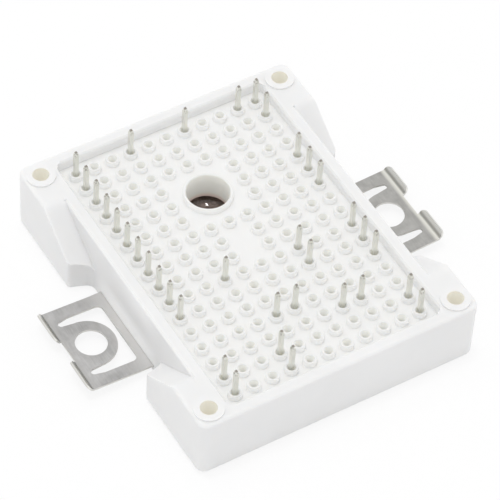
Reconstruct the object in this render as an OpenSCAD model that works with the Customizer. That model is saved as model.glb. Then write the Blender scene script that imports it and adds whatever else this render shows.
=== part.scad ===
// IGBT power module with a moulded pin-grid housing and two screw clamps.
// The underside rests on z = 0, with the origin under the middle of the pin grid.
// X runs across the clamps, Y along the housing and Z up through the pins.

/* [Pin grid] */
// Distance between neighbouring pin positions, along X and along Y
pin_pitch = 3.2; // [3.1:0.05:3.6]
// Clear width of the round hole in each pin position
pin_hole_d = 1.25; // [1.1:0.05:1.5]
// Outer diameter of the raised boss round each pin position
boss_d = 2.2; // [1.9:0.05:2.6]
// Height of the bosses above the sunk field
boss_h = 0.95; // [0.4:0.05:1.2]
// Chamfer on the edges of the bosses and their holes
boss_chamfer = 0.12; // [0.05:0.01:0.2]

/* [Housing] */
// Height of the rim above the underside of the module
rim_h = 11.5; // [10.5:0.1:14]
// Depth of the sunk pin field below the rim
field_depth = 1.85; // [1.2:0.05:2.4]
// Thickness of the perforated lid under the pin field
lid_t = 1.2; // [0.8:0.1:1.8]
// Distance from the outer pin columns to the side walls
field_margin_x = 2.3; // [1.8:0.1:3.5]
// Distance from the outer pin rows to the end walls
field_margin_y = 2.35; // [1.8:0.05:3.5]
// Thickness of the side walls behind the clamps
side_wall = 2.1; // [1.9:0.1:3]
// Thickness of the end walls
end_wall = 2; // [1.8:0.1:3]
// How far the corner blocks stand out beyond the side walls
block_reach = 3.6; // [3.5:0.1:5]
// Radius of the upright corners
corner_r = 1.5; // [0.8:0.1:2]
// Radius of the pin field's corners
field_r = 0.8; // [0.5:0.1:1.2]
// Radius of the rounded top edges
edge_r = 0.45; // [0.2:0.05:0.6]
// Gap between the foot of the walls and the heat sink
foot_gap = 0.5; // [0.3:0.05:0.6]
// Radius of the rounded foot edges
foot_r = 0.3; // [0.1:0.05:0.4]
// Thickness of the skirt round the ceramic plate
skirt_t = 0.9; // [0.7:0.05:1.2]

/* [Corner blocks] */
// Length of the level top of each block, from the end face to the ramp
block_flat = 8.85; // [7.8:0.05:9.6]
// Slope of the ramps down to the clamps, in degrees
ramp_angle = 36; // [30:1:38]
// Radius that rounds the top of each ramp
ramp_r = 2.5; // [1:0.1:4]
// Radius of the clearance round each clamp screw
screw_clear_r = 12.2; // [11.6:0.1:12.8]
// Fillet where that clearance runs into the side wall
clear_fillet = 1.5; // [0.8:0.1:2]
// Rounding of the outer edge of that clearance
clear_round = 0.8; // [0.4:0.1:1]
// Width of the pocket that lightens each block from below
pocket_w = 2.2; // [1.6:0.1:2.4]
// Length of that pocket
pocket_l = 11; // [8:0.5:12]
// Depth of that pocket
pocket_depth = 3.6; // [2:0.1:4]

/* [Board standoffs] */
// Distance from the outer side face to the standoff's axis
standoff_inset_x = 2.7; // [2.6:0.05:3.2]
// Distance from the end face to the standoff's axis
standoff_inset_y = 2.9; // [2.6:0.05:3.2]
// Outer diameter of the standoff rings
standoff_d = 4.7; // [4.2:0.1:5]
// Height of the standoff rings above the rim
standoff_h = 0.3; // [0.2:0.05:0.6]
// Bore for the board screw
board_screw_d = 2.6; // [2:0.1:3]
// Depth of that bore below the standoff
board_screw_depth = 6.5; // [5:0.1:7]

/* [Filling port] */
// Grid column of the port through which the gel is poured
port_col = 5; // [4:1:6]
// Grid row of the port
port_row = 4; // [3:1:5]
// Bore of the port
port_d = 6.8; // [6:0.1:7.2]
// Wall of the port's collar and guide tube
port_wall = 0.55; // [0.55:0.05:0.8]
// Length of the guide tube below the top of the collar
port_l = 5; // [3.5:0.1:5.4]
// Radius that rounds the top edges of the collar
port_round = 0.25; // [0.1:0.05:0.25]

/* [Clamps] */
// Distance from the side wall to the screw's axis
screw_reach = 6.1; // [6:0.05:6.6]
// Screw hole in each clamp
screw_d = 5; // [4.3:0.1:5.2]
// Thickness of the spring steel
clamp_t = 0.35; // [0.3:0.05:0.5]
// Width of each clamp
clamp_w = 16.2; // [15.4:0.1:17]
// Height of the clamps above the heat sink, at the wall
clamp_z = 1.3; // [1.1:0.05:1.6]
// Distance from the side wall to the plain edge between the lips
clamp_reach = 10.05; // [9.8:0.05:10.6]
// Depth to which a clamp sits in the side wall
clamp_grip = 1.5; // [1:0.05:1.6]
// Play between a clamp and its slot in the wall
clamp_play = 0.08; // [0.04:0.01:0.12]
// Distance from the side wall to the line where the clamp is set upwards
set_reach = 2; // [1.6:0.1:2.8]
// Upward slope of the clamp beyond that line, before it is screwed down
set_angle = 3; // [1:0.5:4]
// Bend radius at that line
set_r = 12; // [6:1:15]
// Width of the spring ring beside the screw hole
ring_w = 1.95; // [1.7:0.05:2.1]
// How far the ring's centre lies outside the screw's axis
ring_shift = 0.5; // [0:0.05:0.6]
// Width of the arms beside the slot
arm_w = 2.15; // [2:0.05:2.4]
// Width of the strip between the slot and the side wall
web_w = 1.3; // [1:0.05:1.4]
// Rounding of the slot's corners next to the wall
slot_corner_r = 0.9; // [0.4:0.1:1.2]
// Distance from the screw's axis to the middle of the slot's tips
slot_tip_x = 2.35; // [2.1:0.05:2.5]
// Radius of the slot's tips
slot_tip_r = 0.5; // [0.4:0.05:0.55]
// How far the slot's outer edge comes in from its full width to its tips
slot_taper = 0.3; // [0.2:0.05:0.4]
// Distance from the screw's axis to the point where the slot starts to narrow
slot_shoulder_x = 0.9; // [0.5:0.05:1.5]
// Bend angle of the raised lips
lip_angle = 50; // [35:1:65]
// Length of the straight part of a lip
lip_l = 1.1; // [1:0.05:1.5]
// Inner bend radius of a lip
lip_bend_r = 0.35; // [0.3:0.05:0.6]
// Gap between the two lips of a clamp
lip_gap = 4.4; // [3.6:0.1:5.4]
// Rounding of a lip's free corners
lip_corner_r = 0.9; // [0.3:0.1:0.9]

/* [Pins] */
// Side of the square pin wire
pin_w = 0.64; // [0.56:0.02:0.7]
// Height of the pin tips above the standoffs
pin_reach = 3.7; // [3.2:0.1:5]
// Length of the tapered tip
tip_l = 0.6; // [0.4:0.1:1.2]
// Side of the pin's end face
tip_w = 0.34; // [0.2:0.02:0.4]
// Length of the sleeves soldered to the substrate
sleeve_l = 4; // [3:0.1:5]
// Wall of the sleeves
sleeve_wall = 0.3; // [0.2:0.05:0.4]
// Play between the corners of a pin and its sleeve
sleeve_play = 0.02; // [0.01:0.01:0.05]
// Diameter of the sleeve's foot
sleeve_foot_d = 2.1; // [1.8:0.05:2.3]
// Thickness of the sleeve's foot
sleeve_foot_t = 0.3; // [0.2:0.05:0.4]

/* [Substrate] */
// Thickness of the ceramic plate
ceramic_t = 0.38; // [0.32:0.02:0.64]
// Thickness of the copper on each face
copper_t = 0.3; // [0.2:0.05:0.4]
// Play between the ceramic plate and the skirt
ceramic_play = 0.1; // [0.05:0.01:0.2]
// Bare border of the ceramic round the lower copper
copper_border = 0.9; // [0.6:0.1:1.4]
// Gap between neighbouring copper islands
island_gap = 0.8; // [0.6:0.05:1]
// Thickness of the adhesive between housing and ceramic
seal_t = 0.12; // [0.08:0.02:0.2]
// Height of the silicone gel above the upper copper
gel_h = 3.4; // [2.6:0.1:4]

/* [Chips and wires] */
// Side of the transistor chips
igbt_w = 6; // [5:0.1:6.4]
// Width of the diode chips
diode_w = 5; // [4:0.1:5.4]
// Length of the diode chips
diode_l = 4; // [3:0.1:4.4]
// Thickness of a chip with its solder
chip_t = 0.2; // [0.15:0.01:0.3]
// Diameter of the aluminium bond wires
wire_d = 0.3; // [0.25:0.05:0.4]
// Height of a wire's arch above its feet
wire_rise = 1.4; // [1:0.1:1.8]
// Distance between neighbouring bond wires
wire_pitch = 1.3; // [1:0.1:1.5]
// Length of a wire's pressed foot
wire_foot = 0.7; // [0.5:0.1:0.9]
// Length of the thermistor
ntc_l = 2; // [1.6:0.1:2.2]
// Width of the thermistor
ntc_w = 1.25; // [0.8:0.05:1.6]
// Height of the thermistor
ntc_h = 0.6; // [0.4:0.05:0.9]

/* [Hidden] */
$fn = 32;
eps = 0.01;

// The grid has as many columns and rows as the pin layout below uses.
last_col = 10;
last_row = 15;

// Pins as [column, row], counted from the far left corner.
LEFT_PINS = concat([for (r = [0:10]) [0, r]], [[0, 14], [0, 15]]);
RIGHT_PINS = [[10, 0], [10, 1], [10, 4], [10, 5], [10, 6], [10, 9], [10, 10], [10, 11], [10, 14], [10, 15]];
END_PINS = [[3, 0], [6, 0], [9, 0], [3, 14], [3, 15]];
INNER_PINS = [[3, 9], [7, 9], [7, 10], [4, 12], [5, 12], [7, 13], [8, 13]];
PINS = concat(LEFT_PINS, RIGHT_PINS, END_PINS, INNER_PINS);
// Positions in the middle of the grid that have no hole.
BLANKS = [[5, 7], [5, 8]];

// Chip places as [column, row]: upper and lower switch of the three half bridges.
UPPER_IGBTS = [[2.2, 2.6], [5, 2.6], [7.8, 2.6]];
LOWER_IGBTS = [[2.2, 7.5], [5, 7.5], [7.8, 7.5]];
UPPER_DIODES = [[2.2, 5.1], [5, 5.1], [7.8, 5.1]];
LOWER_DIODES = [[1.9, 10.3], [5, 10.3], [8.2, 10.3]];
NTC_PLACE = [7.5, 13.85];
// How far a wire's foot lies from the middle of its chip or the edge of its island, in grid rows.
wire_land = 0.25;

// Copper islands as [first column, first row, last column, last row].
DC_PLUS = [0.5, -0.5, 9.5, 6.1];
PHASES = [[0.5, 6.1, 3.5, 11.2], [3.5, 6.1, 6.5, 11.2], [6.5, 6.1, 9.5, 11.2]];
DC_MINUS = [[0.5, 11.2, 6.5, 13.1], [6, 11.2, 9.5, 12.5]];
BRAKE = [0.5, 13.1, 4.5, 15.5];
NTC_PADS = [[6.5, 12.5, 7.5, 14.6], [7.5, 12.5, 8.5, 14.6]];

function grid_x(c) = (c - last_col / 2) * pin_pitch;
function grid_y(r) = (last_row / 2 - r) * pin_pitch;
function is_blank(c, r) = len([for (b = BLANKS) if (b == [c, r]) 1]) > 0;
function turned(a) = [-sin(a), -cos(a)];
function near_port(c, r) = norm([c - port_col, r - port_row]) * pin_pitch
    < port_d / 2 + port_wall + boss_d / 2;
HOLES = [for (c = [0:last_col]) for (r = [0:last_row])
    if (!is_blank(c, r) && !near_port(c, r)) [c, r]];

field_w = last_col * pin_pitch + 2 * field_margin_x;
field_l = last_row * pin_pitch + 2 * field_margin_y;
waist_w = field_w + 2 * side_wall;
case_l = field_l + 2 * end_wall;
case_w = waist_w + 2 * block_reach;
field_z = rim_h - field_depth;
lid_z = field_z - lid_t;
boss_top = field_z + boss_h;
ramp_start = case_l / 2 - block_flat;

dcb_top = 2 * copper_t + ceramic_t;
ceramic_w = waist_w - 2 * (skirt_t + ceramic_play);
ceramic_l = case_l - 2 * (skirt_t + ceramic_play);
shoulder_z = copper_t + ceramic_t + seal_t;
chip_top = dcb_top + chip_t;

standoff_x = case_w / 2 - standoff_inset_x;
standoff_y = case_l / 2 - standoff_inset_y;
screw_x = waist_w / 2 + screw_reach;
clamp_in = waist_w / 2 - clamp_grip;
slot_in = waist_w / 2 + web_w;
slot_half = clamp_w / 2 - arm_w;
ring_r = screw_d / 2 + ring_w;
ring_x = screw_x + ring_shift;
set_x = waist_w / 2 + set_reach;
slope_l = (clamp_reach - set_reach - (set_r + clamp_t) * sin(set_angle)) / cos(set_angle);
set_steps = 4;
lip_len = (clamp_w - lip_gap) / 2;

sleeve_bore = pin_w * sqrt(2) + 2 * sleeve_play;
sleeve_d = sleeve_bore + 2 * sleeve_wall;
pin_foot_z = dcb_top + sleeve_foot_t;
pin_top = rim_h + standoff_h + pin_reach;

function pin_name(p) = str("pin_c", p[0], "_r", p[1]);
PIN_NAMES = [for (p = PINS) pin_name(p)];
IGBT_PLACES = concat(UPPER_IGBTS, LOWER_IGBTS);
DIODE_PLACES = concat(UPPER_DIODES, LOWER_DIODES);
IGBT_NAMES = [for (i = [1:len(IGBT_PLACES)]) str("igbt_chip_", i)];
DIODE_NAMES = [for (i = [1:len(DIODE_PLACES)]) str("diode_chip_", i)];

// A plate with round corners, centred on the origin.
module rounded_plate(w, l, h, r) {
    linear_extrude(h) {
        square([w - 2 * r, l], center = true);
        square([w, l - 2 * r], center = true);
        for (x = [-1, 1]) for (y = [-1, 1])
            translate([x * (w / 2 - r), y * (l / 2 - r)]) circle(r);
    }
}

// Section through the housing's outer edge, with its round top and foot: the face is at x = 0.
module edge_section(depth, h) {
    translate([-depth, foot_r]) square([depth, h - edge_r - foot_r]);
    translate([-depth, 0]) square([depth - foot_r, h - edge_r]);
    translate([-depth, h / 2]) square([depth - edge_r, h / 2]);
    translate([-edge_r, h - edge_r]) circle(edge_r);
    translate([-foot_r, foot_r]) circle(foot_r);
}

// The full block of the housing, with round upright corners and round top edges.
module slab() {
    h = rim_h - foot_gap;
    w = case_w - 2 * corner_r;
    l = case_l - 2 * corner_r;
    translate([0, 0, foot_gap]) {
        translate([-w / 2, -l / 2, 0]) cube([w, l, h]);
        for (side = [-1, 1]) {
            rotate([0, 0, side * 90 - 90]) translate([w / 2 + corner_r, l / 2, 0])
                rotate([90, 0, 0]) linear_extrude(l) edge_section(corner_r, h);
            rotate([0, 0, side * 90]) translate([l / 2 + corner_r, w / 2, 0])
                rotate([90, 0, 0]) linear_extrude(w) edge_section(corner_r, h);
        }
        for (x = [-1, 1]) for (y = [-1, 1])
            translate([x * w / 2, y * l / 2, 0]) rotate_extrude()
                intersection() {
                    translate([corner_r, 0]) edge_section(corner_r, h);
                    square([corner_r, h]);
                }
    }
}

// Plan of the screw clearance beside the right side wall.
module clearance_plan() {
    wall_x = waist_w / 2;
    face_x = case_w / 2;
    fillet_x = wall_x + clear_fillet;
    fillet_reach = screw_clear_r - clear_fillet;
    fillet_y = sqrt(pow(fillet_reach, 2) - pow(screw_x - fillet_x, 2));
    fillet_tip = [screw_x, 0] + ([fillet_x, fillet_y] - [screw_x, 0]) * screw_clear_r / fillet_reach;
    corner_y = sqrt(pow(screw_clear_r, 2) - pow(screw_x - wall_x, 2));
    round_x = face_x - clear_round;
    round_reach = screw_clear_r + clear_round;
    round_y = sqrt(pow(round_reach, 2) - pow(screw_x - round_x, 2));
    round_tip = [screw_x, 0] + ([round_x, round_y] - [screw_x, 0]) * screw_clear_r / round_reach;
    difference() {
        intersection() {
            translate([screw_x, 0]) circle(screw_clear_r, $fn = 96);
            translate([wall_x, -screw_clear_r]) square([2 * screw_clear_r, 2 * screw_clear_r]);
        }
        for (side = [0, 1]) mirror([0, side]) difference() {
            polygon([[wall_x - eps, fillet_y], [wall_x - eps, corner_y + 1],
                [wall_x + eps, corner_y + 1], fillet_tip, [fillet_x, fillet_y]]);
            translate([fillet_x, fillet_y]) circle(clear_fillet);
        }
    }
    for (side = [0, 1]) mirror([0, side]) difference() {
        polygon([[round_x, round_y], round_tip, [face_x + 1, round_tip[1]], [face_x + 1, round_y]]);
        translate([round_x, round_y]) circle(clear_round);
    }
}

// Section of the cut above a ramp, in the plane of Y and Z, for the far blocks.
module ramp_section() {
    tangent = ramp_r * tan(ramp_angle / 2);
    drop = ramp_start * tan(ramp_angle);
    top_y = ramp_start + tangent;
    difference() {
        polygon([[0, rim_h - drop], [0, rim_h + 1], [top_y, rim_h + 1], [top_y, rim_h],
            [ramp_start - tangent * cos(ramp_angle), rim_h - tangent * sin(ramp_angle)]]);
        translate([top_y, rim_h - ramp_r]) circle(ramp_r, $fn = 96);
    }
}

// Everything that is cut from the slab beside the right side wall.
module side_cut() {
    translate([0, 0, -eps]) linear_extrude(rim_h + 2) clearance_plan();
    for (side = [0, 1]) mirror([0, side, 0])
        translate([waist_w / 2, 0, 0]) rotate([90, 0, 90]) linear_extrude(block_reach + 1) ramp_section();
    translate([waist_w / 2, 0, rim_h]) rotate([0, 45, 0])
        cube([edge_r, 2 * ramp_start, edge_r], center = true);
}

// Slot in the right side wall that grips a clamp.
module clamp_slot() {
    translate([clamp_in - clamp_play, -clamp_w / 2 - clamp_play, clamp_z - clamp_play])
        cube([clamp_grip + clamp_play + 1, clamp_w + 2 * clamp_play, clamp_t + 2 * clamp_play]);
}

// Pocket that lightens a corner block, open at the foot.
module block_pocket() {
    pocket_x = (ceramic_w / 2 + ceramic_play + case_w / 2) / 2;
    pocket_end = standoff_y + board_screw_d / 2;
    translate([pocket_x, pocket_end - pocket_l / 2, foot_gap - eps])
        rounded_plate(pocket_w, pocket_l, pocket_depth + eps, pocket_w / 2 - eps);
}

// The lid with its bosses, its pin holes and the filling port.
module pin_field() {
    difference() {
        union() {
            translate([-field_w / 2 - edge_r, -field_l / 2 - edge_r, lid_z])
                cube([field_w + 2 * edge_r, field_l + 2 * edge_r, lid_t]);
            for (h = HOLES) translate([grid_x(h[0]), grid_y(h[1]), field_z - lid_t / 2]) {
                cylinder(d = boss_d, h = boss_h + lid_t / 2 - boss_chamfer);
                translate([0, 0, boss_h + lid_t / 2 - boss_chamfer])
                    cylinder(d1 = boss_d, d2 = boss_d - 2 * boss_chamfer, h = boss_chamfer);
            }
        }
        for (h = HOLES) translate([grid_x(h[0]), grid_y(h[1]), lid_z - 1]) {
            cylinder(d = pin_hole_d, h = boss_top - lid_z + 2);
            translate([0, 0, boss_top - lid_z + 1 - boss_chamfer])
                cylinder(d1 = pin_hole_d, d2 = pin_hole_d + 4 * boss_chamfer, h = 2 * boss_chamfer);
        }
        translate([grid_x(port_col), grid_y(port_row), lid_z - 1])
            cylinder(d = port_d + port_wall, h = lid_t + 2, $fn = 96);
    }
    translate([grid_x(port_col), grid_y(port_row), boss_top - port_l]) rotate_extrude($fn = 96)
        port_section();
}

// Section of the port's guide tube, with its round top edges.
module port_section() {
    translate([port_d / 2, 0]) {
        square([port_wall, port_l - port_round]);
        translate([port_round, 0]) square([port_wall - 2 * port_round, port_l]);
        for (x = [port_round, port_wall - port_round])
            translate([x, port_l - port_round]) circle(port_round);
    }
}

module housing() {
    color("white") {
        difference() {
            union() {
                difference() {
                    slab();
                    for (side = [0, 1]) mirror([side, 0, 0]) side_cut();
                }
                for (x = [-1, 1]) for (y = [-1, 1])
                    translate([x * standoff_x, y * standoff_y, rim_h - 1])
                        cylinder(d = standoff_d, h = standoff_h + 1, $fn = 64);
            }
            translate([0, 0, shoulder_z]) rounded_plate(field_w, field_l, rim_h, field_r);
            for (x = [-1, 1]) translate([x * field_w / 2, 0, rim_h]) rotate([0, 45, 0])
                cube([edge_r, field_l - 2 * field_r, edge_r], center = true);
            for (y = [-1, 1]) translate([0, y * field_l / 2, rim_h]) rotate([45, 0, 0])
                cube([field_w - 2 * field_r, edge_r, edge_r], center = true);
            translate([0, 0, -1]) rounded_plate(ceramic_w + 2 * ceramic_play,
                ceramic_l + 2 * ceramic_play, shoulder_z + 1, field_r);
            for (x = [-1, 1]) for (y = [-1, 1])
                translate([x * standoff_x, y * standoff_y, rim_h + standoff_h - board_screw_depth])
                    cylinder(d = board_screw_d, h = board_screw_depth + 1, $fn = 64);
            for (side = [0, 1]) mirror([side, 0, 0]) {
                clamp_slot();
                for (far = [0, 1]) mirror([0, far, 0]) block_pocket();
            }
        }
        pin_field();
    }
}

// Plan of the long hole in a clamp that leaves the screw hole on a spring ring.
module spring_slot_plan() {
    tip_x = screw_x + slot_tip_x;
    tip_y = slot_half - slot_taper - slot_tip_r;
    difference() {
        union() {
            translate([slot_in + slot_corner_r, -slot_half])
                square([screw_x - slot_in - slot_corner_r, 2 * slot_half]);
            translate([slot_in, -slot_half + slot_corner_r])
                square([screw_x - slot_in, 2 * (slot_half - slot_corner_r)]);
            for (side = [-1, 1]) {
                translate([slot_in + slot_corner_r, side * (slot_half - slot_corner_r)])
                    circle(slot_corner_r);
                translate([tip_x, side * tip_y]) circle(slot_tip_r);
                polygon([[screw_x - eps, side * ring_r], [ring_x, side * ring_r],
                    [tip_x, side * (tip_y - slot_tip_r)], [tip_x, side * (tip_y + slot_tip_r)],
                    [screw_x + slot_shoulder_x, side * slot_half], [screw_x - eps, side * slot_half]]);
            }
        }
        translate([ring_x, 0]) circle(ring_r, $fn = 96);
        translate([ring_x, -ring_r]) square([slot_tip_x + 1, 2 * ring_r]);
    }
}

// Section of bent sheet with inner radius r, from straight down through the given angle.
module bend_section(r, angle) {
    reach = 2 * (r + clamp_t) / cos(angle / 2);
    intersection() {
        difference() {
            circle(r + clamp_t, $fn = 96);
            circle(r, $fn = 96);
        }
        polygon([[0, 0], [0, -reach], [reach * sin(angle), -reach * cos(angle)]]);
    }
}

// Puts its children on the sloping part of a clamp, from the underside of its inner end.
module on_slope() {
    translate([set_x, 0, clamp_z + clamp_t + set_r]) rotate([0, -set_angle, 0])
        translate([0, 0, -set_r - clamp_t]) children();
}

// Section of a clamp without its lips, with the underside of the slope on the X axis.
module sheet_section() {
    level = set_x - clamp_in;
    centre = [0, set_r + clamp_t];
    back = [-cos(set_angle), sin(set_angle)] * level;
    under = [for (i = [0:set_steps]) centre + (set_r + clamp_t) * turned(i * set_angle / set_steps)];
    upper = [for (i = [set_steps:-1:0]) centre + set_r * turned(i * set_angle / set_steps)];
    polygon(concat([[slope_l, 0]], under, [under[set_steps] + back, upper[0] + back], upper,
        [[slope_l, clamp_t]]));
}

// Section of a lip, from the end of the slope: bend and straight part as one shape.
module lip_section() {
    outer = lip_bend_r + clamp_t;
    bend_section(lip_bend_r, lip_angle);
    rotate(lip_angle) translate([0, -outer]) square([lip_l, clamp_t]);
}

// What is cut from a lip so that its free corners are round, in the plane of its straight part.
module lip_corner_cut() {
    for (side = [0, 1]) translate([0, side * lip_len]) mirror([0, side]) difference() {
        translate([lip_l - lip_corner_r, -1]) square([lip_corner_r + 1, lip_corner_r + 1]);
        translate([lip_l - lip_corner_r, lip_corner_r]) circle(lip_corner_r);
    }
}

// The clamp on the right; the one on the left is its mirror image.
module clamp() {
    difference() {
        on_slope() translate([0, clamp_w / 2, 0]) rotate([90, 0, 0]) linear_extrude(clamp_w)
            sheet_section();
        translate([0, 0, clamp_z - 1]) linear_extrude(clamp_t + 3) spring_slot_plan();
        translate([screw_x, 0, clamp_z - 1]) cylinder(d = screw_d, h = clamp_t + 3, $fn = 96);
    }
    for (side = [0, 1]) mirror([0, side, 0])
        on_slope() translate([slope_l, clamp_w / 2, clamp_t + lip_bend_r]) difference() {
            rotate([90, 0, 0]) linear_extrude(lip_len) lip_section();
            rotate([0, -lip_angle, 0]) translate([0, -lip_len, -lip_bend_r - clamp_t - 1])
                linear_extrude(clamp_t + 2) lip_corner_cut();
        }
}

module clamp_right() {
    color("silver") clamp();
}

module clamp_left() {
    color("silver") mirror([1, 0, 0]) clamp();
}

module seal_bead() {
    color("whitesmoke") translate([0, 0, copper_t + ceramic_t]) difference() {
        rounded_plate(ceramic_w, ceramic_l, seal_t, field_r);
        translate([0, 0, -1]) rounded_plate(field_w, field_l, seal_t + 2, field_r);
    }
}

module ceramic_plate() {
    color("ivory") translate([0, 0, copper_t])
        rounded_plate(ceramic_w, ceramic_l, ceramic_t, field_r);
}

module lower_copper() {
    color("peru")
        rounded_plate(ceramic_w - 2 * copper_border, ceramic_l - 2 * copper_border, copper_t, field_r);
}

// Plan of one copper island between grid lines, set back by half a gap all round.
module island(area) {
    x0 = grid_x(area[0]) + island_gap / 2;
    y0 = grid_y(area[3]) + island_gap / 2;
    translate([x0, y0])
        square([grid_x(area[2]) - island_gap / 2 - x0, grid_y(area[1]) - island_gap / 2 - y0]);
}

module upper_copper() {
    islands = concat([DC_PLUS, BRAKE], DC_MINUS, PHASES, NTC_PADS);
    color("peru") translate([0, 0, copper_t + ceramic_t]) linear_extrude(copper_t) {
        for (area = islands) island(area);
        for (p = concat(LEFT_PINS, RIGHT_PINS)) island([p[0] - 0.5, p[1] - 0.5, p[0] + 0.5, p[1] + 0.5]);
    }
}

module chip(place, w, l) {
    translate([grid_x(place[0]) - w / 2, grid_y(place[1]) - l / 2, dcb_top]) cube([w, l, chip_t]);
}

module igbt_chip(i) {
    color("dimgray") chip(IGBT_PLACES[i], igbt_w, igbt_w);
}

module diode_chip(i) {
    color("slategray") chip(DIODE_PLACES[i], diode_w, diode_l);
}

module thermistor() {
    color("black") translate([grid_x(NTC_PLACE[0]) - ntc_l / 2, grid_y(NTC_PLACE[1]) - ntc_w / 2, dcb_top])
        cube([ntc_l, ntc_w, ntc_h]);
}

// A wire that arches along Y from a foot at y0 to a foot at y1, on surfaces z0 and z1.
module bond_wire(x, y0, z0, y1, z1) {
    half = abs(y1 - y0) / 2;
    rise = min(wire_rise, half);
    arch_r = (half * half + rise * rise) / (2 * rise);
    sweep = 2 * asin(min(1, half / arch_r));
    base_z = max(z0, z1) + wire_d / 2;
    translate([x, (y0 + y1) / 2, base_z + rise - arch_r]) rotate([90, 0, 90])
        rotate([0, 0, 90 - sweep / 2]) rotate_extrude(angle = sweep) translate([arch_r, 0])
            circle(d = wire_d, $fn = 16);
    for (foot = [[y0, z0], [y1, z1]])
        translate([x - wire_d / 2, foot[0] - wire_foot / 2, foot[1]])
            cube([wire_d, wire_foot, base_z + wire_d / 2 - foot[1]]);
}

// Three wires side by side between two places at the grid's columns and rows.
module wire_group(col, row0, z0, row1, z1) {
    for (i = [-1:1]) bond_wire(grid_x(col) + i * wire_pitch, grid_y(row0), z0, grid_y(row1), z1);
}

module bond_wires() {
    phase_row = PHASES[0][1] + wire_land;
    minus_row = DC_MINUS[0][1] + wire_land;
    color("gainsboro") for (i = [0:2]) {
        upper = UPPER_DIODES[i];
        lower = LOWER_DIODES[i];
        wire_group(upper[0], UPPER_IGBTS[i][1] + wire_land, chip_top, upper[1] - wire_land, chip_top);
        wire_group(upper[0], upper[1] + wire_land, chip_top, phase_row, dcb_top);
        wire_group(lower[0], LOWER_IGBTS[i][1] + wire_land, chip_top, lower[1] - wire_land, chip_top);
        wire_group(lower[0], lower[1] + wire_land, chip_top, minus_row, dcb_top);
    }
}

module pin_sleeve(p) {
    translate([grid_x(p[0]), grid_y(p[1]), dcb_top]) difference() {
        union() {
            cylinder(d = sleeve_d, h = sleeve_l);
            cylinder(d = sleeve_foot_d, h = sleeve_foot_t);
        }
        translate([0, 0, sleeve_foot_t]) cylinder(d = sleeve_bore, h = sleeve_l);
    }
}

module pin_sleeves() {
    color("lightgray") for (p = PINS) pin_sleeve(p);
}

// Square pin with a tip that narrows on all four sides.
module pin(p) {
    neck = pin_top - tip_l;
    section = [[-pin_w / 2, pin_foot_z], [pin_w / 2, pin_foot_z], [pin_w / 2, neck],
        [tip_w / 2, pin_top], [-tip_w / 2, pin_top], [-pin_w / 2, neck]];
    color("lightgray") translate([grid_x(p[0]), grid_y(p[1]), 0]) intersection() {
        rotate([90, 0, 0]) linear_extrude(2 * pin_w, center = true) polygon(section);
        rotate([90, 0, 90]) linear_extrude(2 * pin_w, center = true) polygon(section);
    }
}

// The gel fills the space over the substrate and round everything that stands on it.
module silicone_gel() {
    color("saddlebrown") difference() {
        translate([0, 0, copper_t + ceramic_t]) rounded_plate(field_w, field_l, copper_t + gel_h, field_r);
        upper_copper();
        for (i = [0:len(IGBT_PLACES) - 1]) igbt_chip(i);
        for (i = [0:len(DIODE_PLACES) - 1]) diode_chip(i);
        thermistor();
        bond_wires();
        for (p = PINS) translate([grid_x(p[0]), grid_y(p[1]), dcb_top]) {
            cylinder(d = sleeve_d, h = sleeve_l);
            cylinder(d = sleeve_foot_d, h = sleeve_foot_t);
        }
    }
}

housing();
clamp_left();
clamp_right();
seal_bead();
ceramic_plate();
lower_copper();
upper_copper();
thermistor();
bond_wires();
pin_sleeves();
silicone_gel();
for (i = [0:len(IGBT_PLACES) - 1])
    igbt_chip(i);
for (i = [0:len(DIODE_PLACES) - 1])
    diode_chip(i);
for (i = [0:len(PINS) - 1])
    pin(PINS[i]);
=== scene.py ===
"""Finishes and studio for a power module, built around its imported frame."""

import math

import bpy
import numpy as np
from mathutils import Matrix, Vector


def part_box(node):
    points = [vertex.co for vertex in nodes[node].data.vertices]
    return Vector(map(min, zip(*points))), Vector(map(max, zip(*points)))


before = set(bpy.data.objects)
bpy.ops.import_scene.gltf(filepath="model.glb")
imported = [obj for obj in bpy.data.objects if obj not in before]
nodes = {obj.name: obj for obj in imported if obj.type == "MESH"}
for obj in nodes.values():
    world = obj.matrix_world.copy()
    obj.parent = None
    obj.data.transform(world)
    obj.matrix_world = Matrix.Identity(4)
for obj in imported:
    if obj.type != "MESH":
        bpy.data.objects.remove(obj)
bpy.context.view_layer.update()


# ---- Ceramic plate, seal and copper faces ----
# The module stands on a fired alumina plate with copper bonded to both faces.
# The lower copper is bare and pressed on the heat sink; the upper one is etched
# into islands that carry the chips. A bead of silicone seals plate to housing.

mm = 0.001  # the scene is in metres


def srgb(colour):
    """Linear RGBA of an sRGB hex colour."""
    parts = [int(colour[i:i + 2], 16) / 255 for i in (1, 3, 5)]
    return [c / 12.92 if c <= 0.04045 else ((c + 0.055) / 1.055) ** 2.4 for c in parts] + [1.0]


def add_node(tree, kind, sockets, **settings):
    """Adds one node to a tree; each socket takes a plain value or another node's output."""
    node = tree.nodes.new(kind)
    for key, value in settings.items():
        setattr(node, key, value)
    for key, value in sockets.items():
        if isinstance(value, bpy.types.NodeSocket):
            tree.links.new(value, node.inputs[key])
        else:
            node.inputs[key].default_value = value
    return node


def start_material(name):
    """A new material: its node tree and its Object coordinates."""
    material = bpy.data.materials.new(name)
    material.use_nodes = True
    material.node_tree.nodes.clear()
    coords = add_node(material.node_tree, "ShaderNodeTexCoord", {})
    return material, material.node_tree, coords.outputs["Object"]


def finish_material(tree, sockets):
    """Closes a tree with one Principled shader."""
    shader = add_node(tree, "ShaderNodeBsdfPrincipled", sockets)
    add_node(tree, "ShaderNodeOutputMaterial", {"Surface": shader.outputs["BSDF"]})


def dress(material, slot, *names):
    """Puts a material on CAD nodes. The slot, the finish's name, is not used."""
    for name in names:
        nodes[name].data.materials.clear()
        nodes[name].data.materials.append(material)


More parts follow.
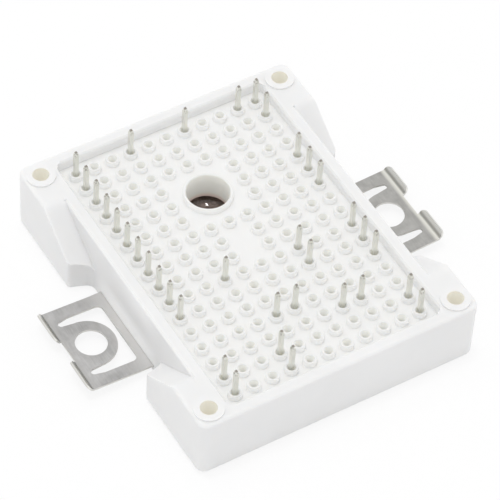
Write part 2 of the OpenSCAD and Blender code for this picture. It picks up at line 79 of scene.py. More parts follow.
def fired_alumina():
    """Alumina fired white: ivory, quite matt, with a faint grain that shows as specks."""
    material, tree, place = start_material("fired_alumina")
    grain = add_node(tree, "ShaderNodeTexNoise", {"Vector": place, "Scale": 1 / (0.35 * mm), "Detail": 3.0})
    cloud = add_node(tree, "ShaderNodeTexNoise", {"Vector": place, "Scale": 1 / (6 * mm), "Detail": 2.0})
    mottle = add_node(tree, "ShaderNodeMath", {0: grain.outputs["Fac"], 1: cloud.outputs["Fac"]},
                      operation="MULTIPLY")
    share = add_node(tree, "ShaderNodeMapRange", {"Value": mottle.outputs[0], "From Min": 0.15,
                                                  "From Max": 0.38})
    tone = add_node(tree, "ShaderNodeMix", {"Factor": share.outputs["Result"], 6: srgb("#E2DDCE"),
                                            7: srgb("#F1EEE4")}, data_type="RGBA")
    bump = add_node(tree, "ShaderNodeBump", {"Height": grain.outputs["Fac"], "Strength": 0.5,
                                             "Distance": 0.01 * mm})
    finish_material(tree, {"Base Color": tone.outputs[2], "Roughness": 0.62, "IOR": 1.76,
                           "Normal": bump.outputs["Normal"]})
    return material


def bonded_copper():
    """Copper bonded in a furnace: coarse crystal grains, a slight brown bloom and fine handling marks."""
    material, tree, place = start_material("bonded_copper")
    crystal = add_node(tree, "ShaderNodeTexVoronoi", {"Vector": place, "Scale": 1 / (0.6 * mm)})
    bloom = add_node(tree, "ShaderNodeTexNoise", {"Vector": place, "Scale": 1 / (16 * mm), "Detail": 3.0,
                                                  "Roughness": 0.5})
    drawn = add_node(tree, "ShaderNodeMapping", {"Vector": place, "Scale": (0.08, 1.0, 1.0)})
    marks = add_node(tree, "ShaderNodeTexNoise", {"Vector": drawn.outputs["Vector"],
                                                  "Scale": 1 / (0.12 * mm), "Detail": 2.0})
    grains = add_node(tree, "ShaderNodeSeparateColor", {"Color": crystal.outputs["Color"]})
    both = add_node(tree, "ShaderNodeMix", {"Factor": 0.3, 2: bloom.outputs["Fac"],
                                            3: grains.outputs["Red"]})
    share = add_node(tree, "ShaderNodeMapRange", {"Value": both.outputs[0], "From Min": 0.2,
                                                  "From Max": 0.8})
    tone = add_node(tree, "ShaderNodeMix", {"Factor": share.outputs["Result"], 6: srgb("#C48468"),
                                            7: srgb("#DDA68B")}, data_type="RGBA")
    rough = add_node(tree, "ShaderNodeMapRange", {"Value": bloom.outputs["Fac"], "From Min": 0.3,
                                                  "From Max": 0.7, "To Min": 0.46, "To Max": 0.3})
    bump = add_node(tree, "ShaderNodeBump", {"Height": marks.outputs["Fac"], "Strength": 0.4,
                                             "Distance": 0.006 * mm})
    finish_material(tree, {"Base Color": tone.outputs[2], "Metallic": 1.0,
                           "Roughness": rough.outputs["Result"], "Normal": bump.outputs["Normal"]})
    return material


def cured_sealant():
    """White silicone sealant: soft sheen over a slightly wavy skin."""
    material, tree, place = start_material("cured_sealant")
    skin = add_node(tree, "ShaderNodeTexNoise", {"Vector": place, "Scale": 1 / (1.5 * mm), "Detail": 3.0})
    tone = add_node(tree, "ShaderNodeMix", {"Factor": skin.outputs["Fac"], 6: srgb("#DEDDD6"),
                                            7: srgb("#ECEBE6")}, data_type="RGBA")
    bump = add_node(tree, "ShaderNodeBump", {"Height": skin.outputs["Fac"], "Strength": 0.4,
                                             "Distance": 0.05 * mm})
    finish_material(tree, {"Base Color": tone.outputs[2], "Roughness": 0.4, "IOR": 1.41,
                           "Normal": bump.outputs["Normal"]})
    return material


dress(fired_alumina(), "alumina", "ceramic_plate")
dress(bonded_copper(), "copper", "lower_copper", "upper_copper")
dress(cured_sealant(), "adhesive", "seal_bead")


# ---- Chips and thermistor ----
# Six transistors and six diodes are soldered to the islands, with aluminium on
# their upper faces in strips. The thermistor is a dark ceramic body with tinned ends.

chip_strip = 0.9 * mm
gate_line = 0.08


def metallised_silicon(name, light, dark):
    """A chip's upper face: matt evaporated aluminium in strips, with darker gate lines between them."""
    material, tree, place = start_material(name)
    axes = add_node(tree, "ShaderNodeSeparateXYZ", {"Vector": place})
    across = add_node(tree, "ShaderNodeMath", {0: axes.outputs["X"], 1: chip_strip}, operation="DIVIDE")
    strip = add_node(tree, "ShaderNodeMath", {0: across.outputs[0]}, operation="FRACT")
    line = add_node(tree, "ShaderNodeMath", {0: strip.outputs[0], 1: gate_line}, operation="LESS_THAN")
    film = add_node(tree, "ShaderNodeTexNoise", {"Vector": place, "Scale": 1 / (0.2 * mm), "Detail": 3.0})
    shade = add_node(tree, "ShaderNodeMath", {0: film.outputs["Fac"], 1: 0.35}, operation="MULTIPLY")
    share = add_node(tree, "ShaderNodeMath", {0: line.outputs[0], 1: shade.outputs[0]}, operation="MAXIMUM")
    tone = add_node(tree, "ShaderNodeMix", {"Factor": share.outputs[0], 6: srgb(light), 7: srgb(dark)},
                    data_type="RGBA")
    rough = add_node(tree, "ShaderNodeMapRange", {"Value": film.outputs["Fac"], "To Min": 0.38,
                                                  "To Max": 0.52})
    finish_material(tree, {"Base Color": tone.outputs[2], "Metallic": 1.0,
                           "Roughness": rough.outputs["Result"]})
    return material


def thermistor_finish():
    """Dark sintered ceramic with a tinned cap on each end."""
    material, tree, place = start_material("thermistor_ceramic_and_tin")
    low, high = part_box("thermistor")
    middle = (low.x + high.x) / 2
    cap = (high.x - low.x) / 2 - 0.4 * mm
    axes = add_node(tree, "ShaderNodeSeparateXYZ", {"Vector": place})
    away = add_node(tree, "ShaderNodeMath", {0: axes.outputs["X"], 1: middle}, operation="SUBTRACT")
    reach = add_node(tree, "ShaderNodeMath", {0: away.outputs[0]}, operation="ABSOLUTE")
    tinned = add_node(tree, "ShaderNodeMath", {0: reach.outputs[0], 1: cap}, operation="GREATER_THAN")
    speck = add_node(tree, "ShaderNodeTexNoise", {"Vector": place, "Scale": 1 / (0.08 * mm), "Detail": 2.0})
    body = add_node(tree, "ShaderNodeMix", {"Factor": speck.outputs["Fac"], 6: srgb("#1B1A1A"),
                                            7: srgb("#37332F")}, data_type="RGBA")
    tone = add_node(tree, "ShaderNodeMix", {"Factor": tinned.outputs[0], 6: body.outputs[2],
                                            7: srgb("#C9C8C2")}, data_type="RGBA")
    rough = add_node(tree, "ShaderNodeMapRange", {"Value": tinned.outputs[0], "To Min": 0.6, "To Max": 0.34})
    finish_material(tree, {"Base Color": tone.outputs[2], "Metallic": tinned.outputs[0],
                           "Roughness": rough.outputs["Result"]})
    return material


dress(metallised_silicon("transistor_metallised_silicon", "#B9BABD", "#55565C"), "transistor_silicon",
      *[f"igbt_chip_{i}" for i in range(1, 7)])
dress(metallised_silicon("diode_metallised_silicon", "#C6C6C8", "#8A8A90"), "diode_silicon",
      *[f"diode_chip_{i}" for i in range(1, 7)])
dress(thermistor_finish(), "thermistor_body", "thermistor")


# ---- Bond wires ----
# Thick aluminium wire, drawn and annealed, pressed to the chips with ultrasound.

def drawn_aluminium():
    """Annealed wire: pale satin metal with fine lines along its length."""
    material, tree, place = start_material("drawn_aluminium")
    along = add_node(tree, "ShaderNodeMapping", {"Vector": place, "Scale": (1.0, 0.1, 1.0)})
    lines = add_node(tree, "ShaderNodeTexNoise", {"Vector": along.outputs["Vector"],
                                                  "Scale": 1 / (0.05 * mm), "Detail": 2.0})
    tone = add_node(tree, "ShaderNodeMix", {"Factor": lines.outputs["Fac"], 6: srgb("#C4C4C6"),
                                            7: srgb("#E4E4E4")}, data_type="RGBA")
    rough = add_node(tree, "ShaderNodeMapRange", {"Value": lines.outputs["Fac"], "To Min": 0.28,
                                                  "To Max": 0.42})
    finish_material(tree, {"Base Color": tone.outputs[2], "Metallic": 1.0,
                           "Roughness": rough.outputs["Result"]})
    return material


dress(drawn_aluminium(), "aluminium_wire", "bond_wires")


# ---- Silicone gel ----
# A soft clear gel is poured over the chips and stays soft. In the closed housing
# it looks dark brown, because only the copper under it throws light back.

dish_place = (-0.56 * mm, 11.5 * mm)
dish_radius = 7.6 * mm
wave_height = 0.04 * mm


def soft_gel():
    """Clear soft silicone, smooth and wet, but drawn opaque: its dark brown is painted shade of the closed
    housing, and its lighter brown patches stand for the copper under it.
    Under the port its surface is a shallow dish of height d * d / 2R at distance d from its middle."""
    material, tree, place = start_material("soft_silicone_gel")
    patches = add_node(tree, "ShaderNodeTexNoise", {"Vector": place, "Scale": 1 / (0.8 * mm), "Detail": 4.0,
                                                    "Roughness": 0.66})
    share = add_node(tree, "ShaderNodeMapRange", {"Value": patches.outputs["Fac"], "From Min": 0.4,
                                                  "From Max": 0.64})
    # Painted shade: dark brown, with lighter patches for the copper under the gel.
    tone = add_node(tree, "ShaderNodeMix", {"Factor": share.outputs["Result"], 6: srgb("#5E4F48"),
                                            7: srgb("#8E7A73")}, data_type="RGBA")
    axes = add_node(tree, "ShaderNodeSeparateXYZ", {"Vector": place})
    parts = [add_node(tree, "ShaderNodeMath", {0: axes.outputs[axis], 1: middle}, operation="SUBTRACT")
             for axis, middle in zip("XY", dish_place)]
    away = add_node(tree, "ShaderNodeCombineXYZ", {"X": parts[0].outputs[0], "Y": parts[1].outputs[0]})
    square = add_node(tree, "ShaderNodeVectorMath", {0: away.outputs[0], 1: away.outputs[0]},
                      operation="DOT_PRODUCT")
    dish = add_node(tree, "ShaderNodeMath", {0: square.outputs["Value"], 1: 2 * dish_radius},
                    operation="DIVIDE")
    waves = add_node(tree, "ShaderNodeTexNoise", {"Vector": place, "Scale": 1 / (1.2 * mm), "Detail": 1.0})
    height = add_node(tree, "ShaderNodeMath", {0: waves.outputs["Fac"], 1: wave_height,
                                               2: dish.outputs[0]}, operation="MULTIPLY_ADD")
    bump = add_node(tree, "ShaderNodeBump", {"Height": height.outputs[0], "Strength": 1.0, "Distance": 1.0})
    finish_material(tree, {"Base Color": tone.outputs[2], "Roughness": 0.02, "IOR": 1.41,
                           "Specular IOR Level": 0.7, "Normal": bump.outputs["Normal"]})
    return material


dress(soft_gel(), "silicone", "silicone_gel")


# ---- Housing ----
# One moulding of white glass-filled polyester: frame, corner blocks, perforated
# lid with a boss round each pin hole, filling port and four standoffs for the board.

pin_pitch = 3.2 * mm
standoff_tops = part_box("housing")[1].z
rim_tops = standoff_tops - 0.3 * mm
boss_tops = standoff_tops - 1.2 * mm
boss_chamfer = 0.15 * mm
tray_half = (18.35 * mm, 26.4 * mm)
standoff_place = (21.3 * mm, 25.45 * mm)
screw_bore = 1.34 * mm
pocket_tops = 4.6 * mm
pin_bore = 0.66 * mm
port_place = 11.2 * mm
port_bore = 3.45 * mm
port_foot = 5.6 * mm
gel_reflection_height = 1 * mm
waist_side = 20.3 * mm
waist_half = 7 * mm
waist_blend = 2.5 * mm

# Painted glow, an emission that stands in for light carried through the moulding: its strength on each
# kind of wall, the depth below a mouth over which it grows, and the heights on the waist between which it
# stands for light thrown up from the clamp or coming through the upper edge.
flank_glow = 0.01
pin_glow = 0.115
screw_glow = 0.11
port_glow = 0.07
thrown_glow = 0.21
edge_glow = 0.1
glow_depth = (0.05 * mm, 0.6 * mm)
thrown_heights = (6 * mm, 3.1 * mm)
edge_heights = (7.3 * mm, 11 * mm)
edge_fade = 6 * mm


def housing_regions(tree, axes, sides):
    """Where each point of the moulding lies, as masks of 0 or 1: on an upright wall, in the tray between
    the rims, on its bosses' tops or flanks, and in a screw bore, the filling port or a pin bore."""
    # An upright wall's true normal has a height below one half.
    shape = add_node(tree, "ShaderNodeNewGeometry", {})
    facing = add_node(tree, "ShaderNodeSeparateXYZ", {"Vector": shape.outputs["True Normal"]})
    lean = add_node(tree, "ShaderNodeMath", {0: facing.outputs["Z"]}, operation="ABSOLUTE")
    wall = add_node(tree, "ShaderNodeMath", {0: lean.outputs[0], 1: 0.5}, operation="LESS_THAN")
    # Tray: everything between the rims and below their tops.
    tray = add_node(tree, "ShaderNodeMath", {0: axes.outputs["Z"], 1: rim_tops - boss_chamfer},
                    operation="LESS_THAN")
    for axis, limit in zip("XY", tray_half):
        within = add_node(tree, "ShaderNodeMath", {0: sides[axis].outputs[0], 1: limit},
                          operation="LESS_THAN")
        tray = add_node(tree, "ShaderNodeMath", {0: tray.outputs[0], 1: within.outputs[0]},
                        operation="MULTIPLY")
    above = add_node(tree, "ShaderNodeMath", {0: axes.outputs["Z"], 1: boss_tops - boss_chamfer},
                     operation="GREATER_THAN")
    capped = add_node(tree, "ShaderNodeMath", {0: above.outputs[0], 1: wall.outputs[0]},
                      operation="SUBTRACT")
    tops = add_node(tree, "ShaderNodeMath", {0: capped.outputs[0], 1: tray.outputs[0]}, operation="MULTIPLY",
                    use_clamp=True)
    flanks = add_node(tree, "ShaderNodeMath", {0: tray.outputs[0], 1: wall.outputs[0]}, operation="MULTIPLY")
    # Screw bores: distance from the nearest standoff's axis, above the pockets in the foot.
    reach = [add_node(tree, "ShaderNodeMath", {0: sides[axis].outputs[0], 1: offset}, operation="SUBTRACT")
             for axis, offset in zip("XY", standoff_place)]
    to_screw = add_node(tree, "ShaderNodeCombineXYZ", {"X": reach[0].outputs[0], "Y": reach[1].outputs[0]})
    screw_r = add_node(tree, "ShaderNodeVectorMath", {0: to_screw.outputs[0]}, operation="LENGTH")
    in_screw = add_node(tree, "ShaderNodeMath", {0: screw_r.outputs["Value"], 1: screw_bore},
                        operation="LESS_THAN")
    high = add_node(tree, "ShaderNodeMath", {0: axes.outputs["Z"], 1: pocket_tops}, operation="GREATER_THAN")
    screwed = add_node(tree, "ShaderNodeMath", {0: in_screw.outputs[0], 1: high.outputs[0]},
                       operation="MULTIPLY")
    # Filling port: everything inside its bore, from the collar down to the tube's foot.
    from_port = add_node(tree, "ShaderNodeMath", {0: axes.outputs["Y"], 1: port_place},
                         operation="SUBTRACT")
    to_port = add_node(tree, "ShaderNodeCombineXYZ", {"X": axes.outputs["X"], "Y": from_port.outputs[0]})
    port_r = add_node(tree, "ShaderNodeVectorMath", {0: to_port.outputs[0]}, operation="LENGTH")
    in_port = add_node(tree, "ShaderNodeMath", {0: port_r.outputs["Value"], 1: port_bore},
                       operation="LESS_THAN")
    # Pin bores: distance from the nearest grid position, away from the port.
    near_x = add_node(tree, "ShaderNodeMath", {0: axes.outputs["X"], 1: pin_pitch / 2, 2: -pin_pitch / 2},
                      operation="WRAP")
    near_y = add_node(tree, "ShaderNodeMath", {0: axes.outputs["Y"], 1: pin_pitch, 2: 0.0}, operation="WRAP")
    from_row = add_node(tree, "ShaderNodeMath", {0: near_y.outputs[0], 1: pin_pitch / 2},
                        operation="SUBTRACT")
    to_pin = add_node(tree, "ShaderNodeCombineXYZ", {"X": near_x.outputs[0], "Y": from_row.outputs[0]})
    pin_r = add_node(tree, "ShaderNodeVectorMath", {0: to_pin.outputs[0]}, operation="LENGTH")
    bored = add_node(tree, "ShaderNodeMath", {0: pin_r.outputs["Value"], 1: pin_bore},
                     operation="LESS_THAN")
    away = add_node(tree, "ShaderNodeMath", {0: port_r.outputs["Value"], 1: 1.5 * port_bore},
                    operation="GREATER_THAN")
    for limit in (away, flanks):
        bored = add_node(tree, "ShaderNodeMath", {0: bored.outputs[0], 1: limit.outputs[0]},
                         operation="MULTIPLY")
    return wall, tray, tops, flanks, screwed, in_port, bored


def paint_glow(tree, axes, sides, wall, mouths):
    """Strength of the painted glow, an emission on upright walls that stands in for light passed on inside
    the moulding. On walls below a mouth it grows from 0 to the glow over the glow depth. On the waist it
    grows towards the clamp and towards the upper edge, the upper one only towards -Y, fading in from Y =
    edge fade to Y = 0."""
    painted_glow = 0.0
    for inner, mouth, glow in mouths:
        depth = add_node(tree, "ShaderNodeMapRange", {"Value": axes.outputs["Z"],
                                                      "From Min": mouth - glow_depth[0],
                                                      "From Max": mouth - glow_depth[1], "To Max": glow})
        painted_glow = add_node(tree, "ShaderNodeMath", {0: depth.outputs["Result"], 1: inner.outputs[0],
                                                    2: painted_glow}, operation="MULTIPLY_ADD").outputs[0]
    outer = add_node(tree, "ShaderNodeMath", {0: sides["X"].outputs[0], 1: waist_side},
                     operation="GREATER_THAN")
    beside = add_node(tree, "ShaderNodeMapRange", {"Value": sides["Y"].outputs[0],
                                                   "From Min": waist_half + waist_blend,
                                                   "From Max": waist_half - waist_blend})
    waist = add_node(tree, "ShaderNodeMath", {0: beside.outputs["Result"], 1: outer.outputs[0]},
                     operation="MULTIPLY")
    thrown = add_node(tree, "ShaderNodeMapRange", {"Value": axes.outputs["Z"], "From Min": thrown_heights[0],
                                                   "From Max": thrown_heights[1], "To Max": thrown_glow})
    through = add_node(tree, "ShaderNodeMapRange", {"Value": axes.outputs["Z"], "From Min": edge_heights[0],
                                                    "From Max": edge_heights[1], "To Max": edge_glow})
    ahead = add_node(tree, "ShaderNodeMapRange", {"Value": axes.outputs["Y"], "From Min": edge_fade,
                                                  "From Max": 0.0})
    edge = add_node(tree, "ShaderNodeMath", {0: through.outputs["Result"], 1: ahead.outputs["Result"]},
                    operation="MULTIPLY")
    for light in (thrown, edge):
        painted_glow = add_node(tree, "ShaderNodeMath", {0: light.outputs[0], 1: waist.outputs[0], 2: painted_glow},
                           operation="MULTIPLY_ADD").outputs[0]
    upright = add_node(tree, "ShaderNodeMath", {0: painted_glow, 1: wall.outputs[0]}, operation="MULTIPLY")
    return upright.outputs[0]


def moulded_polyester():
    """White glass-filled polyester from a spark-eroded mould: satin white, faintly clouded by the flow and
    slightly translucent. Light and shade are painted on: the tray and its bosses' flanks lighter, the boss
    tops greyer, the bores lighter and warmer, a painted pink reflection of the gel at the port's foot, and a
    painted glow on the walls of the bores, the port and the waist."""
    material, tree, place = start_material("moulded_white_polyester")
    axes = add_node(tree, "ShaderNodeSeparateXYZ", {"Vector": place})
    sides = {axis: add_node(tree, "ShaderNodeMath", {0: axes.outputs[axis]}, operation="ABSOLUTE")
             for axis in "XY"}
    wall, tray, tops, flanks, screwed, in_port, bored = housing_regions(tree, axes, sides)
    # Tone, with painted light and shade: the tray and its bosses' flanks are painted lighter and the boss
    # tops greyer, the bores are painted lighter, cream or faintly green, and the port's foot takes a painted
    # pink reflection of the gel.
    flow = add_node(tree, "ShaderNodeTexNoise", {"Vector": place, "Scale": 1 / (11 * mm), "Detail": 3.0})
    cloud = add_node(tree, "ShaderNodeMapRange", {"Value": flow.outputs["Fac"], "From Min": 0.35,
                                                  "From Max": 0.65})
    tone = add_node(tree, "ShaderNodeMix", {"Factor": cloud.outputs["Result"], 6: srgb("#EEEEEE"),
                                            7: srgb("#F1F1F1")}, data_type="RGBA")
    low = add_node(tree, "ShaderNodeMapRange", {"Value": axes.outputs["Z"],
                                                "From Min": port_foot + gel_reflection_height,
                                                "From Max": port_foot})
    painted_gel_reflection = add_node(tree, "ShaderNodeMath", {0: low.outputs["Result"], 1: in_port.outputs[0]},
                     operation="MULTIPLY")
    # Each mix below lays painted light or shade over the cloud; the last is the painted pink reflection of
    # the gel.
    for share, colour in ((tray, "#F2F2F1"), (flanks, "#FBFBFA"), (tops, "#EAEAE9"),
                          (screwed, "#F8F5ED"), (bored, "#FAFAF5"), (in_port, "#F7F8F2"),
                          (painted_gel_reflection, "#EBD3CB")):
        tone = add_node(tree, "ShaderNodeMix", {"Factor": share.outputs[0], 6: tone.outputs[2],
                                                7: srgb(colour)}, data_type="RGBA")
    # Painted glow: the bore, port and waist walls emit light, though they are no lamps.
    mouths = [(flanks, rim_tops, flank_glow), (bored, boss_tops, pin_glow),
              (screwed, standoff_tops, screw_glow), (in_port, boss_tops, port_glow)]
    painted_glow = paint_glow(tree, axes, sides, wall, mouths)
    sparks = add_node(tree, "ShaderNodeTexNoise", {"Vector": place, "Scale": 1 / (0.16 * mm), "Detail": 2.0})
    rough = add_node(tree, "ShaderNodeMapRange", {"Value": sparks.outputs["Fac"], "To Min": 0.42,
                                                  "To Max": 0.56})
    bump = add_node(tree, "ShaderNodeBump", {"Height": sparks.outputs["Fac"], "Strength": 0.35,
                                             "Distance": 0.008 * mm})
    finish_material(tree, {"Base Color": tone.outputs[2], "Roughness": rough.outputs["Result"], "IOR": 1.55,
                           "Subsurface Weight": 1.0, "Subsurface Radius": (1.0, 0.97, 0.93),
                           "Subsurface Scale": 0.5 * mm, "Emission Color": tone.outputs[2],
                           "Emission Strength": painted_glow, "Normal": bump.outputs["Normal"]})
    return material


dress(moulded_polyester(), "housing_plastic", "housing")


# ---- Clamps ----
# Two stampings of stainless spring sheet, pressed into slots in the side walls.
# A screw pulls each ring down; the lips at the end are bent up out of the plate.

wall_side = 20.8 * mm
ring_side = 24.8 * mm
lip_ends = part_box("clamp_right")[1].x
lip_fold = lip_ends - 1.25 * mm


def rolled_spring_steel(name, dull, bright, fold_highlight):
    """Cold-rolled stainless sheet: satin grey with fine grain along the strip and a patchy haze. Light and
    shade are painted on: a painted sheen beside the wall, a painted highlight towards the fold, painted
    shade at the lip's root, a painted reflection on the lip and its end, and painted highlights along the
    sheared edges."""
    material, tree, place = start_material(name)
    strip = add_node(tree, "ShaderNodeMapping", {"Vector": place, "Scale": (1.0, 0.06, 1.0)})
    grain = add_node(tree, "ShaderNodeTexNoise", {"Vector": strip.outputs["Vector"],
                                                  "Scale": 1 / (0.14 * mm), "Detail": 3.0})
    haze = add_node(tree, "ShaderNodeTexNoise", {"Vector": place, "Scale": 1 / (3 * mm), "Detail": 5.0,
                                                 "Roughness": 0.65})
    blend = add_node(tree, "ShaderNodeMix", {"Factor": 0.35, 2: haze.outputs["Fac"],
                                             3: grain.outputs["Fac"]})
    share = add_node(tree, "ShaderNodeMapRange", {"Value": blend.outputs[0], "From Min": 0.36,
                                                  "From Max": 0.64})
    tone = add_node(tree, "ShaderNodeMix", {"Factor": share.outputs["Result"], 6: srgb(dull),
                                            7: srgb(bright)}, data_type="RGBA")
    axes = add_node(tree, "ShaderNodeSeparateXYZ", {"Vector": place})
    out = add_node(tree, "ShaderNodeMath", {0: axes.outputs["X"]}, operation="ABSOLUTE")
    # Painted sheen: the sheet is painted lighter from the ring towards the wall.
    painted_wall_sheen = add_node(tree, "ShaderNodeMapRange", {"Value": out.outputs[0], "From Min": ring_side,
                                                    "From Max": wall_side})
    shape = add_node(tree, "ShaderNodeNewGeometry", {})
    facing = add_node(tree, "ShaderNodeSeparateXYZ", {"Vector": shape.outputs["True Normal"]})
    lean = add_node(tree, "ShaderNodeMath", {0: facing.outputs["Z"]}, operation="ABSOLUTE")
    edge = add_node(tree, "ShaderNodeMapRange", {"Value": lean.outputs[0], "From Min": 0.3,
                                                 "From Max": 0.2})
    # Beside the wall a painted sheen, then outwards from the fold in millimetres: its painted highlight, the
    # painted shade at the root of the lip, the painted reflection on the lip and on its sheared end. The
    # painted highlights on the sheared edges all round come last.
    parts = [(painted_wall_sheen, "#DAD9D7")]
    for start, full, colour in ((-0.65, 0.05, fold_highlight), (0.25, 0.4, "#B3B2AC"), (0.45, 0.75, "#E9E8E3"),
                                (0.95, 1.1, "#D3D2CD")):
        band = add_node(tree, "ShaderNodeMapRange", {"Value": out.outputs[0],
                                                     "From Min": lip_fold + start * mm,
                                                     "From Max": lip_fold + full * mm},
                        interpolation_type="SMOOTHSTEP")
        parts.append((band, colour))
    parts.append((edge, "#DDDCD8"))
    for part, colour in parts:
        tone = add_node(tree, "ShaderNodeMix", {"Factor": part.outputs["Result"], 6: tone.outputs[2],
                                                7: srgb(colour)}, data_type="RGBA")
    rough = add_node(tree, "ShaderNodeMapRange", {"Value": grain.outputs["Fac"], "To Min": 0.3,
                                                  "To Max": 0.44})
    bump = add_node(tree, "ShaderNodeBump", {"Height": grain.outputs["Fac"], "Strength": 0.35,
                                             "Distance": 0.006 * mm})
    finish_material(tree, {"Base Color": tone.outputs[2], "Metallic": 1.0,
                           "Roughness": rough.outputs["Result"], "Normal": bump.outputs["Normal"]})
    return material


# Painted light and shade: the right clamp's greys are painted darker than the left's, and only the right's
# fold takes a painted highlight.
dress(rolled_spring_steel("rolled_spring_steel_left", "#A9A8A7", "#C8C7C6", "#B9B8B6"), "spring_steel",
      "clamp_left")
dress(rolled_spring_steel("rolled_spring_steel_right", "#9A9996", "#B6B5B2", "#DAD9D2"), "spring_steel",
      "clamp_right")


# ---- Pins and sleeves ----
# Square bronze wire, tinned, is pressed into tinned sleeves that are soldered to
# the islands, and comes up through the lid. The tips are pinched to a blunt point.

pin_names = sorted(name for name in nodes if name.startswith("pin_c"))
pin_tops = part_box(pin_names[0])[1].z
tip_mark = 0.16 * mm
tip_shade_reach = 1.1 * mm


def tinned_wire():
    """Satin tin over drawn wire: pale warm grey with fine lines, with darker patches of painted shade
    towards the tips, and painted dark, as shade, where they are pinched off."""
    material, tree, place = start_material("tinned_wire")
    along = add_node(tree, "ShaderNodeMapping", {"Vector": place, "Scale": (1.0, 1.0, 0.08)})
    lines = add_node(tree, "ShaderNodeTexNoise", {"Vector": along.outputs["Vector"],
                                                  "Scale": 1 / (0.09 * mm), "Detail": 3.0})
    tin = add_node(tree, "ShaderNodeMix", {"Factor": lines.outputs["Fac"], 6: srgb("#DBDBD3"),
                                           7: srgb("#F1F1EB")}, data_type="RGBA")
    axes = add_node(tree, "ShaderNodeSeparateXYZ", {"Vector": place})
    # Painted shade: darker patches towards the tips, and the tips themselves painted dark.
    tip_noise = add_node(tree, "ShaderNodeTexNoise", {"Vector": place, "Scale": 1 / (0.3 * mm), "Detail": 2.0})
    patch = add_node(tree, "ShaderNodeMapRange", {"Value": tip_noise.outputs["Fac"], "From Min": 0.48,
                                                  "From Max": 0.62})
    near_tip = add_node(tree, "ShaderNodeMapRange", {"Value": axes.outputs["Z"],
                                                     "From Min": pin_tops - tip_shade_reach,
                                                     "From Max": pin_tops - 0.5 * tip_shade_reach})
    tip_shade_patches = add_node(tree, "ShaderNodeMath", {0: patch.outputs["Result"], 1: near_tip.outputs["Result"]},
                       operation="MULTIPLY")
    tin = add_node(tree, "ShaderNodeMix", {"Factor": tip_shade_patches.outputs[0], 6: tin.outputs[2],
                                           7: srgb("#B3B0A8")}, data_type="RGBA")
    painted_tip_shade = add_node(tree, "ShaderNodeMapRange", {"Value": axes.outputs["Z"],
                                                 "From Min": pin_tops - tip_mark,
                                                 "From Max": pin_tops - 0.3 * tip_mark})
    tone = add_node(tree, "ShaderNodeMix", {"Factor": painted_tip_shade.outputs["Result"], 6: tin.outputs[2],
                                            7: srgb("#9A968E")}, data_type="RGBA")
    rough = add_node(tree, "ShaderNodeMapRange", {"Value": lines.outputs["Fac"], "To Min": 0.26,
                                                  "To Max": 0.42})
    bump = add_node(tree, "ShaderNodeBump", {"Height": lines.outputs["Fac"], "Strength": 0.3,
                                             "Distance": 0.004 * mm})
    finish_material(tree, {"Base Color": tone.outputs[2], "Metallic": 1.0,
                           "Roughness": rough.outputs["Result"], "Normal": bump.outputs["Normal"]})
    return material


def tinned_sleeve():
    """Tin on a turned sleeve: brighter than the wire, with fine turning rings."""
    material, tree, place = start_material("tinned_sleeve")
    rings = add_node(tree, "ShaderNodeMapping", {"Vector": place, "Scale": (0.1, 0.1, 1.0)})
    lines = add_node(tree, "ShaderNodeTexNoise", {"Vector": rings.outputs["Vector"],
                                                  "Scale": 1 / (0.07 * mm), "Detail": 2.0})
    tone = add_node(tree, "ShaderNodeMix", {"Factor": lines.outputs["Fac"], 6: srgb("#BDBCB4"),
                                            7: srgb("#DCDBD4")}, data_type="RGBA")
    rough = add_node(tree, "ShaderNodeMapRange", {"Value": lines.outputs["Fac"], "To Min": 0.25,
                                                  "To Max": 0.4})
    finish_material(tree, {"Base Color": tone.outputs[2], "Metallic": 1.0,
                           "Roughness": rough.outputs["Result"]})
    return material


dress(tinned_sleeve(), "tinned_sleeve", "pin_sleeves")
dress(tinned_wire(), "tinned_pin", *pin_names)


# ---- Studio ----
# A pale seamless floor, an even white surround, one large soft lamp above and a
# bare bulb beside it, whose small round light shows in the gel. The camera looks
# down on the near left corner.

floor_reach = 3.0
floor_lift = 0.85
surround_light = 0.79
softbox_place, softbox_side, softbox_power = (-0.05, 0.3, 1.16), 0.7, 1.9
bulb_place, bulb_side, bulb_power = (-0.08, 0.1, 1.19), 0.08, 1.7
camera_lens = 234.2
camera_place = (-0.17586, -0.26413, 0.38594)
camera_turn = (39.981, -2.5785, -30.7284)


def pale_paper():
    """Smooth white background paper with the faintest tooth. To the eye it is partly lit from within, so
    that it stays white beside the module and the shadow on it is faint."""
    material, tree, place = start_material("pale_background_paper")
    tooth = add_node(tree, "ShaderNodeTexNoise", {"Vector": place, "Scale": 1 / (0.8 * mm), "Detail": 2.0})
    tone = add_node(tree, "ShaderNodeMix", {"Factor": tooth.outputs["Fac"], 6: srgb("#FBFBFB"),
                                            7: srgb("#FDFDFD")}, data_type="RGBA")
    paper = add_node(tree, "ShaderNodeBsdfPrincipled", {"Base Color": tone.outputs[2], "Roughness": 0.95,
                                                        "Specular IOR Level": 0.1})
    white = add_node(tree, "ShaderNodeEmission", {"Color": srgb("#FFFFFF"), "Strength": 1.0})
    paths = add_node(tree, "ShaderNodeLightPath", {})
    lift = add_node(tree, "ShaderNodeMath", {0: paths.outputs["Is Camera Ray"], 1: floor_lift},
                    operation="MULTIPLY")
    both = add_node(tree, "ShaderNodeMixShader", {0: lift.outputs[0], 1: paper.outputs["BSDF"],
                                                  2: white.outputs["Emission"]})
    add_node(tree, "ShaderNodeOutputMaterial", {"Surface": both.outputs["Shader"]})
    return material


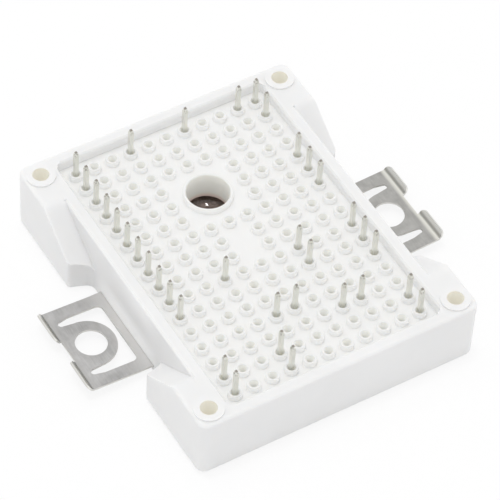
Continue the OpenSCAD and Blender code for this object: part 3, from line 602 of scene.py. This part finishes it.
def flat_sheet(name, reach):
    """A flat sheet at height 0: corner k lies at reach times (cos, sin) of 45 + 90 k degrees, root 2 out."""
    turn = np.radians(45 + 90 * np.arange(4))
    corners = np.stack([np.cos(turn), np.sin(turn), 0 * turn], axis=1) * reach * math.sqrt(2)
    mesh = bpy.data.meshes.new(name)
    mesh.from_pydata(corners.tolist(), [], [list(range(4))])
    sheet = bpy.data.objects.new(name, mesh)
    bpy.context.scene.collection.objects.link(sheet)
    return sheet


floor = flat_sheet("floor", floor_reach)
floor.data.materials.append(pale_paper())

surround = bpy.data.worlds.new("surround")
surround.use_nodes = True
surround.node_tree.nodes.clear()
paths = add_node(surround.node_tree, "ShaderNodeLightPath", {})
seen = add_node(surround.node_tree, "ShaderNodeMath",
                {0: paths.outputs["Is Camera Ray"], 1: paths.outputs["Is Glossy Ray"]}, operation="MAXIMUM")
seen = add_node(surround.node_tree, "ShaderNodeMath",
                {0: seen.outputs[0], 1: paths.outputs["Is Transmission Ray"]}, operation="MAXIMUM")
level = add_node(surround.node_tree, "ShaderNodeMapRange",
                 {"Value": seen.outputs[0], "To Min": surround_light, "To Max": 1.0})
glow = add_node(surround.node_tree, "ShaderNodeBackground",
                {"Color": srgb("#FFFFFF"), "Strength": level.outputs["Result"]})
add_node(surround.node_tree, "ShaderNodeOutputWorld", {"Surface": glow.outputs["Background"]})
bpy.context.scene.world = surround


def soft_lamp(name, place, side, power):
    """A square lamp that faces the middle of the module."""
    lamp = bpy.data.lights.new(name, "AREA")
    lamp.shape = "SQUARE"
    lamp.size = side
    lamp.energy = power
    holder = bpy.data.objects.new(name, lamp)
    bpy.context.scene.collection.objects.link(holder)
    x, y, z = place
    flat = math.hypot(x, y)
    holder.location = place
    holder.rotation_euler = (math.atan2(flat, z), 0, math.atan2(x, -y))
    return holder


# The softbox lights the scene and isn't mirrored in it, so that bare metal stays grey from above.
softbox = soft_lamp("overhead_softbox", softbox_place, softbox_side, softbox_power)
softbox.visible_glossy = False
soft_lamp("bare_bulb", bulb_place, bulb_side, bulb_power)

camera = bpy.data.objects.new("camera", bpy.data.cameras.new("camera"))
camera.data.sensor_width = 36
camera.data.lens = camera_lens
camera.data.clip_start = 0.02
camera.location = camera_place
camera.rotation_euler = [math.radians(angle) for angle in camera_turn]
bpy.context.scene.collection.objects.link(camera)
bpy.context.scene.camera = camera
bpy.context.scene.view_settings.view_transform = "Standard"
